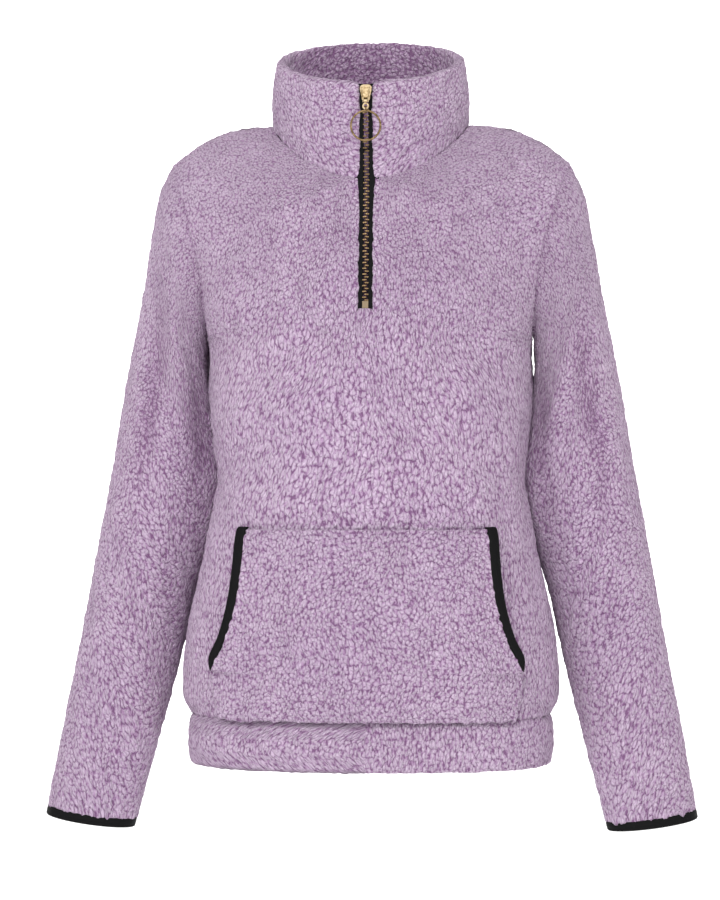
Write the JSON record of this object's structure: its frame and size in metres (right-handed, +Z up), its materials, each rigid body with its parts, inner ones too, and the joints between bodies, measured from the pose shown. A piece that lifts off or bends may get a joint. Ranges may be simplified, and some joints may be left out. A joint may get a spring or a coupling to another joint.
{
  "type": "plush half-zip pullover",
  "caption": "Long-sleeved pullover of curly plush fleece with a stand collar, a short front zip with a ring pull, and a front hand pocket, filled out with no wearer.",
  "frame": {"origin": "midway between the two points where the neck seam meets the shoulder seams, where shoulders hold the pullover up", "axes": "+Z up to the collar, +X towards the right of the picture, which is the wearer's left, -Y to the front"},
  "size_m": [0.6486, 0.2419, 0.7946],
  "materials": {
    "plush": "lilac curly sherpa plush, matte",
    "binding": "black stretch binding tape, matte",
    "zip_tape": "black woven zip tape, matte",
    "brass": "antique brass, satin, a little darkened"
  },
  "bodies": {
    "garment": {"front": "plush", "back": "plush", "sleeve_left": "plush", "sleeve_right": "plush", "collar": "plush", "pocket": "plush", "hem_band": "plush", "pocket_binding_left": "binding", "pocket_binding_right": "binding", "cuff_binding_left": "binding", "cuff_binding_right": "binding", "zip_tape_left": "zip_tape", "zip_tape_right": "zip_tape", "zip_chain": "brass", "zip_bottom_stop": "brass", "zip_slider": "brass"},
    "pull_link": {"pull_link": "brass"},
    "pull_ring": {"pull_ring": "brass", "pull_loop": "brass"}
  },
  "joints": [
    {"name": "pull_swing", "type": "hinge", "parent": "garment", "child": "pull_link", "pos_m": [0, -0.09865, 0.01145], "axis": [-1, 0, 0], "range_deg": [0, 140]},
    {"name": "ring_swing", "type": "hinge", "parent": "pull_link", "child": "pull_ring", "pos_m": [0, -0.09865, 0.0038], "axis": [-1, 0, 0], "range_deg": [0, 60]}
  ]
}
